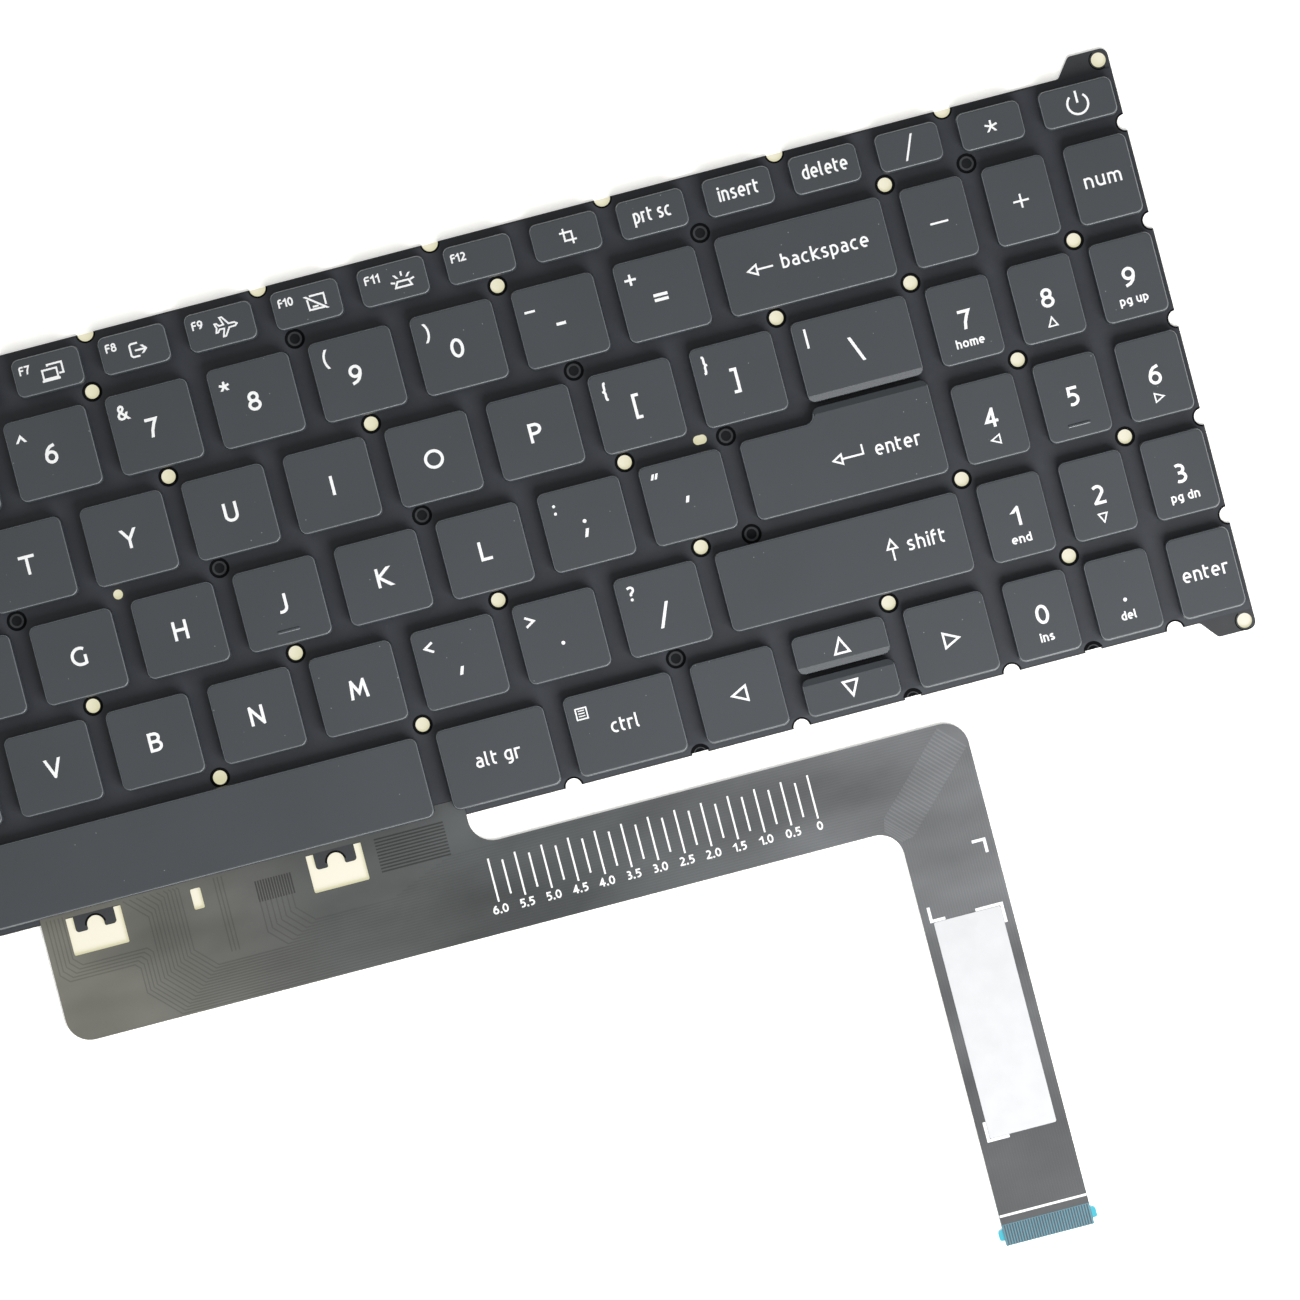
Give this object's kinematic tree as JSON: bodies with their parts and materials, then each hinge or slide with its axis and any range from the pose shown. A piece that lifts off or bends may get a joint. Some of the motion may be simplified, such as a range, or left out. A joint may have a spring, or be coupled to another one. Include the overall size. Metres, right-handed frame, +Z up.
{
  "type": "laptop replacement keyboard",
  "caption": "Flat laptop keyboard: low scissor keys on a perforated plate with corner screw ears, and a flat film tail that ends in a stiffened contact edge.",
  "frame": {"origin": "middle of the base plate's underside, without its ears and tabs", "axes": "+X along the rows towards the number pad, +Y towards the function row, +Z up through the keycaps"},
  "size_m": [0.3268, 0.2067, 0.0044],
  "materials": {
    "plate_paint": "black baked paint on stamped steel",
    "printed_sheet": "matte black ink on polyester film",
    "film": "smoky polyester film with printed tracks",
    "stiffener": "teal polyester",
    "label": "blank white paper",
    "dome_rubber": "milky silicone",
    "link_plastic": "moulded acetal",
    "key_plastic": "fine matte painted plastic"
  },
  "bodies": {
    "board": {"base_plate": "plate_paint", "membrane_sheet": "printed_sheet", "flex_tail": "film", "tail_stiffener": "stiffener", "tail_label": "label", "rubber_domes": "dome_rubber", "scissor_outer_links": "link_plastic", "scissor_inner_links": "link_plastic", "fixed_keys": "key_plastic"},
    "arrow_down": {"arrow_down": "key_plastic"},
    "arrow_left": {"arrow_left": "key_plastic"},
    "arrow_right": {"arrow_right": "key_plastic"},
    "arrow_up": {"arrow_up": "key_plastic"},
    "key_0": {"key_0": "key_plastic"},
    "key_7": {"key_7": "key_plastic"},
    "key_8": {"key_8": "key_plastic"},
    "key_9": {"key_9": "key_plastic"},
    "key_alt_gr": {"key_alt_gr": "key_plastic"},
    "key_b": {"key_b": "key_plastic"},
    "key_backslash": {"key_backslash": "key_plastic"},
    "key_backspace": {"key_backspace": "key_plastic"},
    "key_comma": {"key_comma": "key_plastic"},
    "key_enter": {"key_enter": "key_plastic"},
    "key_equals": {"key_equals": "key_plastic"},
    "key_h": {"key_h": "key_plastic"},
    "key_i": {"key_i": "key_plastic"},
    "key_j": {"key_j": "key_plastic"},
    "key_k": {"key_k": "key_plastic"},
    "key_l": {"key_l": "key_plastic"},
    "key_left_bracket": {"key_left_bracket": "key_plastic"},
    "key_m": {"key_m": "key_plastic"},
    "key_minus": {"key_minus": "key_plastic"},
    "key_n": {"key_n": "key_plastic"},
    "key_o": {"key_o": "key_plastic"},
    "key_p": {"key_p": "key_plastic"},
    "key_period": {"key_period": "key_plastic"},
    "key_quote": {"key_quote": "key_plastic"},
    "key_right_bracket": {"key_right_bracket": "key_plastic"},
    "key_right_ctrl": {"key_right_ctrl": "key_plastic"},
    "key_right_shift": {"key_right_shift": "key_plastic"},
    "key_semicolon": {"key_semicolon": "key_plastic"},
    "key_slash": {"key_slash": "key_plastic"},
    "key_space": {"key_space": "key_plastic"},
    "key_u": {"key_u": "key_plastic"},
    "key_y": {"key_y": "key_plastic"},
    "pad_0": {"pad_0": "key_plastic"},
    "pad_1": {"pad_1": "key_plastic"},
    "pad_2": {"pad_2": "key_plastic"},
    "pad_3": {"pad_3": "key_plastic"},
    "pad_4": {"pad_4": "key_plastic"},
    "pad_5": {"pad_5": "key_plastic"},
    "pad_6": {"pad_6": "key_plastic"},
    "pad_7": {"pad_7": "key_plastic"},
    "pad_8": {"pad_8": "key_plastic"},
    "pad_9": {"pad_9": "key_plastic"},
    "pad_enter": {"pad_enter": "key_plastic"},
    "pad_lock": {"pad_lock": "key_plastic"},
    "pad_minus": {"pad_minus": "key_plastic"},
    "pad_plus": {"pad_plus": "key_plastic"},
    "pad_point": {"pad_point": "key_plastic"}
  },
  "joints": [
    {"name": "arrow_down_press", "type": "slide", "parent": "board", "child": "arrow_down", "axis": [0, 0, -1], "range_m": [0, 0.0014], "stiffness_N_per_m": 300, "springref_m": -0.0005, "deforming": ["rubber_domes", "scissor_outer_links", "scissor_inner_links"]},
    {"name": "arrow_left_press", "type": "slide", "parent": "board", "child": "arrow_left", "axis": [0, 0, -1], "range_m": [0, 0.0014], "stiffness_N_per_m": 300, "springref_m": -0.0005, "deforming": ["rubber_domes", "scissor_outer_links", "scissor_inner_links"]},
    {"name": "arrow_right_press", "type": "slide", "parent": "board", "child": "arrow_right", "axis": [0, 0, -1], "range_m": [0, 0.0014], "stiffness_N_per_m": 300, "springref_m": -0.0005, "deforming": ["rubber_domes", "scissor_outer_links", "scissor_inner_links"]},
    {"name": "arrow_up_press", "type": "slide", "parent": "board", "child": "arrow_up", "axis": [0, 0, -1], "range_m": [0, 0.0014], "stiffness_N_per_m": 300, "springref_m": -0.0005, "deforming": ["rubber_domes", "scissor_outer_links", "scissor_inner_links"]},
    {"name": "key_0_press", "type": "slide", "parent": "board", "child": "key_0", "axis": [0, 0, -1], "range_m": [0, 0.0014], "stiffness_N_per_m": 300, "springref_m": -0.0005, "deforming": ["rubber_domes", "scissor_outer_links", "scissor_inner_links"]},
    {"name": "key_7_press", "type": "slide", "parent": "board", "child": "key_7", "axis": [0, 0, -1], "range_m": [0, 0.0014], "stiffness_N_per_m": 300, "springref_m": -0.0005, "deforming": ["rubber_domes", "scissor_outer_links", "scissor_inner_links"]},
    {"name": "key_8_press", "type": "slide", "parent": "board", "child": "key_8", "axis": [0, 0, -1], "range_m": [0, 0.0014], "stiffness_N_per_m": 300, "springref_m": -0.0005, "deforming": ["rubber_domes", "scissor_outer_links", "scissor_inner_links"]},
    {"name": "key_9_press", "type": "slide", "parent": "board", "child": "key_9", "axis": [0, 0, -1], "range_m": [0, 0.0014], "stiffness_N_per_m": 300, "springref_m": -0.0005, "deforming": ["rubber_domes", "scissor_outer_links", "scissor_inner_links"]},
    {"name": "key_alt_gr_press", "type": "slide", "parent": "board", "child": "key_alt_gr", "axis": [0, 0, -1], "range_m": [0, 0.0014], "stiffness_N_per_m": 300, "springref_m": -0.0005, "deforming": ["rubber_domes", "scissor_outer_links", "scissor_inner_links"]},
    {"name": "key_b_press", "type": "slide", "parent": "board", "child": "key_b", "axis": [0, 0, -1], "range_m": [0, 0.0014], "stiffness_N_per_m": 300, "springref_m": -0.0005, "deforming": ["rubber_domes", "scissor_outer_links", "scissor_inner_links"]},
    {"name": "key_backslash_press", "type": "slide", "parent": "board", "child": "key_backslash", "axis": [0, 0, -1], "range_m": [0, 0.0014], "stiffness_N_per_m": 300, "springref_m": -0.0005, "deforming": ["rubber_domes", "scissor_outer_links", "scissor_inner_links"]},
    {"name": "key_backspace_press", "type": "slide", "parent": "board", "child": "key_backspace", "axis": [0, 0, -1], "range_m": [0, 0.0014], "stiffness_N_per_m": 300, "springref_m": -0.0005, "deforming": ["rubber_domes", "scissor_outer_links", "scissor_inner_links"]},
    {"name": "key_comma_press", "type": "slide", "parent": "board", "child": "key_comma", "axis": [0, 0, -1], "range_m": [0, 0.0014], "stiffness_N_per_m": 300, "springref_m": -0.0005, "deforming": ["rubber_domes", "scissor_outer_links", "scissor_inner_links"]},
    {"name": "key_enter_press", "type": "slide", "parent": "board", "child": "key_enter", "axis": [0, 0, -1], "range_m": [0, 0.0014], "stiffness_N_per_m": 300, "springref_m": -0.0005, "deforming": ["rubber_domes", "scissor_outer_links", "scissor_inner_links"]},
    {"name": "key_equals_press", "type": "slide", "parent": "board", "child": "key_equals", "axis": [0, 0, -1], "range_m": [0, 0.0014], "stiffness_N_per_m": 300, "springref_m": -0.0005, "deforming": ["rubber_domes", "scissor_outer_links", "scissor_inner_links"]},
    {"name": "key_h_press", "type": "slide", "parent": "board", "child": "key_h", "axis": [0, 0, -1], "range_m": [0, 0.0014], "stiffness_N_per_m": 300, "springref_m": -0.0005, "deforming": ["rubber_domes", "scissor_outer_links", "scissor_inner_links"]},
    {"name": "key_i_press", "type": "slide", "parent": "board", "child": "key_i", "axis": [0, 0, -1], "range_m": [0, 0.0014], "stiffness_N_per_m": 300, "springref_m": -0.0005, "deforming": ["rubber_domes", "scissor_outer_links", "scissor_inner_links"]},
    {"name": "key_j_press", "type": "slide", "parent": "board", "child": "key_j", "axis": [0, 0, -1], "range_m": [0, 0.0014], "stiffness_N_per_m": 300, "springref_m": -0.0005, "deforming": ["rubber_domes", "scissor_outer_links", "scissor_inner_links"]},
    {"name": "key_k_press", "type": "slide", "parent": "board", "child": "key_k", "axis": [0, 0, -1], "range_m": [0, 0.0014], "stiffness_N_per_m": 300, "springref_m": -0.0005, "deforming": ["rubber_domes", "scissor_outer_links", "scissor_inner_links"]},
    {"name": "key_l_press", "type": "slide", "parent": "board", "child": "key_l", "axis": [0, 0, -1], "range_m": [0, 0.0014], "stiffness_N_per_m": 300, "springref_m": -0.0005, "deforming": ["rubber_domes", "scissor_outer_links", "scissor_inner_links"]},
    {"name": "key_left_bracket_press", "type": "slide", "parent": "board", "child": "key_left_bracket", "axis": [0, 0, -1], "range_m": [0, 0.0014], "stiffness_N_per_m": 300, "springref_m": -0.0005, "deforming": ["rubber_domes", "scissor_outer_links", "scissor_inner_links"]},
    {"name": "key_m_press", "type": "slide", "parent": "board", "child": "key_m", "axis": [0, 0, -1], "range_m": [0, 0.0014], "stiffness_N_per_m": 300, "springref_m": -0.0005, "deforming": ["rubber_domes", "scissor_outer_links", "scissor_inner_links"]},
    {"name": "key_minus_press", "type": "slide", "parent": "board", "child": "key_minus", "axis": [0, 0, -1], "range_m": [0, 0.0014], "stiffness_N_per_m": 300, "springref_m": -0.0005, "deforming": ["rubber_domes", "scissor_outer_links", "scissor_inner_links"]},
    {"name": "key_n_press", "type": "slide", "parent": "board", "child": "key_n", "axis": [0, 0, -1], "range_m": [0, 0.0014], "stiffness_N_per_m": 300, "springref_m": -0.0005, "deforming": ["rubber_domes", "scissor_outer_links", "scissor_inner_links"]},
    {"name": "key_o_press", "type": "slide", "parent": "board", "child": "key_o", "axis": [0, 0, -1], "range_m": [0, 0.0014], "stiffness_N_per_m": 300, "springref_m": -0.0005, "deforming": ["rubber_domes", "scissor_outer_links", "scissor_inner_links"]},
    {"name": "key_p_press", "type": "slide", "parent": "board", "child": "key_p", "axis": [0, 0, -1], "range_m": [0, 0.0014], "stiffness_N_per_m": 300, "springref_m": -0.0005, "deforming": ["rubber_domes", "scissor_outer_links", "scissor_inner_links"]},
    {"name": "key_period_press", "type": "slide", "parent": "board", "child": "key_period", "axis": [0, 0, -1], "range_m": [0, 0.0014], "stiffness_N_per_m": 300, "springref_m": -0.0005, "deforming": ["rubber_domes", "scissor_outer_links", "scissor_inner_links"]},
    {"name": "key_quote_press", "type": "slide", "parent": "board", "child": "key_quote", "axis": [0, 0, -1], "range_m": [0, 0.0014], "stiffness_N_per_m": 300, "springref_m": -0.0005, "deforming": ["rubber_domes", "scissor_outer_links", "scissor_inner_links"]},
    {"name": "key_right_bracket_press", "type": "slide", "parent": "board", "child": "key_right_bracket", "axis": [0, 0, -1], "range_m": [0, 0.0014], "stiffness_N_per_m": 300, "springref_m": -0.0005, "deforming": ["rubber_domes", "scissor_outer_links", "scissor_inner_links"]},
    {"name": "key_right_ctrl_press", "type": "slide", "parent": "board", "child": "key_right_ctrl", "axis": [0, 0, -1], "range_m": [0, 0.0014], "stiffness_N_per_m": 300, "springref_m": -0.0005, "deforming": ["rubber_domes", "scissor_outer_links", "scissor_inner_links"]},
    {"name": "key_right_shift_press", "type": "slide", "parent": "board", "child": "key_right_shift", "axis": [0, 0, -1], "range_m": [0, 0.0014], "stiffness_N_per_m": 300, "springref_m": -0.0005, "deforming": ["rubber_domes", "scissor_outer_links", "scissor_inner_links"]},
    {"name": "key_semicolon_press", "type": "slide", "parent": "board", "child": "key_semicolon", "axis": [0, 0, -1], "range_m": [0, 0.0014], "stiffness_N_per_m": 300, "springref_m": -0.0005, "deforming": ["rubber_domes", "scissor_outer_links", "scissor_inner_links"]},
    {"name": "key_slash_press", "type": "slide", "parent": "board", "child": "key_slash", "axis": [0, 0, -1], "range_m": [0, 0.0014], "stiffness_N_per_m": 300, "springref_m": -0.0005, "deforming": ["rubber_domes", "scissor_outer_links", "scissor_inner_links"]},
    {"name": "key_space_press", "type": "slide", "parent": "board", "child": "key_space", "axis": [0, 0, -1], "range_m": [0, 0.0014], "stiffness_N_per_m": 300, "springref_m": -0.0005, "deforming": ["rubber_domes", "scissor_outer_links", "scissor_inner_links"]},
    {"name": "key_u_press", "type": "slide", "parent": "board", "child": "key_u", "axis": [0, 0, -1], "range_m": [0, 0.0014], "stiffness_N_per_m": 300, "springref_m": -0.0005, "deforming": ["rubber_domes", "scissor_outer_links", "scissor_inner_links"]},
    {"name": "key_y_press", "type": "slide", "parent": "board", "child": "key_y", "axis": [0, 0, -1], "range_m": [0, 0.0014], "stiffness_N_per_m": 300, "springref_m": -0.0005, "deforming": ["rubber_domes", "scissor_outer_links", "scissor_inner_links"]},
    {"name": "pad_0_press", "type": "slide", "parent": "board", "child": "pad_0", "axis": [0, 0, -1], "range_m": [0, 0.0014], "stiffness_N_per_m": 300, "springref_m": -0.0005, "deforming": ["rubber_domes", "scissor_outer_links", "scissor_inner_links"]},
    {"name": "pad_1_press", "type": "slide", "parent": "board", "child": "pad_1", "axis": [0, 0, -1], "range_m": [0, 0.0014], "stiffness_N_per_m": 300, "springref_m": -0.0005, "deforming": ["rubber_domes", "scissor_outer_links", "scissor_inner_links"]},
    {"name": "pad_2_press", "type": "slide", "parent": "board", "child": "pad_2", "axis": [0, 0, -1], "range_m": [0, 0.0014], "stiffness_N_per_m": 300, "springref_m": -0.0005, "deforming": ["rubber_domes", "scissor_outer_links", "scissor_inner_links"]},
    {"name": "pad_3_press", "type": "slide", "parent": "board", "child": "pad_3", "axis": [0, 0, -1], "range_m": [0, 0.0014], "stiffness_N_per_m": 300, "springref_m": -0.0005, "deforming": ["rubber_domes", "scissor_outer_links", "scissor_inner_links"]},
    {"name": "pad_4_press", "type": "slide", "parent": "board", "child": "pad_4", "axis": [0, 0, -1], "range_m": [0, 0.0014], "stiffness_N_per_m": 300, "springref_m": -0.0005, "deforming": ["rubber_domes", "scissor_outer_links", "scissor_inner_links"]},
    {"name": "pad_5_press", "type": "slide", "parent": "board", "child": "pad_5", "axis": [0, 0, -1], "range_m": [0, 0.0014], "stiffness_N_per_m": 300, "springref_m": -0.0005, "deforming": ["rubber_domes", "scissor_outer_links", "scissor_inner_links"]},
    {"name": "pad_6_press", "type": "slide", "parent": "board", "child": "pad_6", "axis": [0, 0, -1], "range_m": [0, 0.0014], "stiffness_N_per_m": 300, "springref_m": -0.0005, "deforming": ["rubber_domes", "scissor_outer_links", "scissor_inner_links"]},
    {"name": "pad_7_press", "type": "slide", "parent": "board", "child": "pad_7", "axis": [0, 0, -1], "range_m": [0, 0.0014], "stiffness_N_per_m": 300, "springref_m": -0.0005, "deforming": ["rubber_domes", "scissor_outer_links", "scissor_inner_links"]},
    {"name": "pad_8_press", "type": "slide", "parent": "board", "child": "pad_8", "axis": [0, 0, -1], "range_m": [0, 0.0014], "stiffness_N_per_m": 300, "springref_m": -0.0005, "deforming": ["rubber_domes", "scissor_outer_links", "scissor_inner_links"]},
    {"name": "pad_9_press", "type": "slide", "parent": "board", "child": "pad_9", "axis": [0, 0, -1], "range_m": [0, 0.0014], "stiffness_N_per_m": 300, "springref_m": -0.0005, "deforming": ["rubber_domes", "scissor_outer_links", "scissor_inner_links"]},
    {"name": "pad_enter_press", "type": "slide", "parent": "board", "child": "pad_enter", "axis": [0, 0, -1], "range_m": [0, 0.0014], "stiffness_N_per_m": 300, "springref_m": -0.0005, "deforming": ["rubber_domes", "scissor_outer_links", "scissor_inner_links"]},
    {"name": "pad_lock_press", "type": "slide", "parent": "board", "child": "pad_lock", "axis": [0, 0, -1], "range_m": [0, 0.0014], "stiffness_N_per_m": 300, "springref_m": -0.0005, "deforming": ["rubber_domes", "scissor_outer_links", "scissor_inner_links"]},
    {"name": "pad_minus_press", "type": "slide", "parent": "board", "child": "pad_minus", "axis": [0, 0, -1], "range_m": [0, 0.0014], "stiffness_N_per_m": 300, "springref_m": -0.0005, "deforming": ["rubber_domes", "scissor_outer_links", "scissor_inner_links"]},
    {"name": "pad_plus_press", "type": "slide", "parent": "board", "child": "pad_plus", "axis": [0, 0, -1], "range_m": [0, 0.0014], "stiffness_N_per_m": 300, "springref_m": -0.0005, "deforming": ["rubber_domes", "scissor_outer_links", "scissor_inner_links"]},
    {"name": "pad_point_press", "type": "slide", "parent": "board", "child": "pad_point", "axis": [0, 0, -1], "range_m": [0, 0.0014], "stiffness_N_per_m": 300, "springref_m": -0.0005, "deforming": ["rubber_domes", "scissor_outer_links", "scissor_inner_links"]}
  ]
}
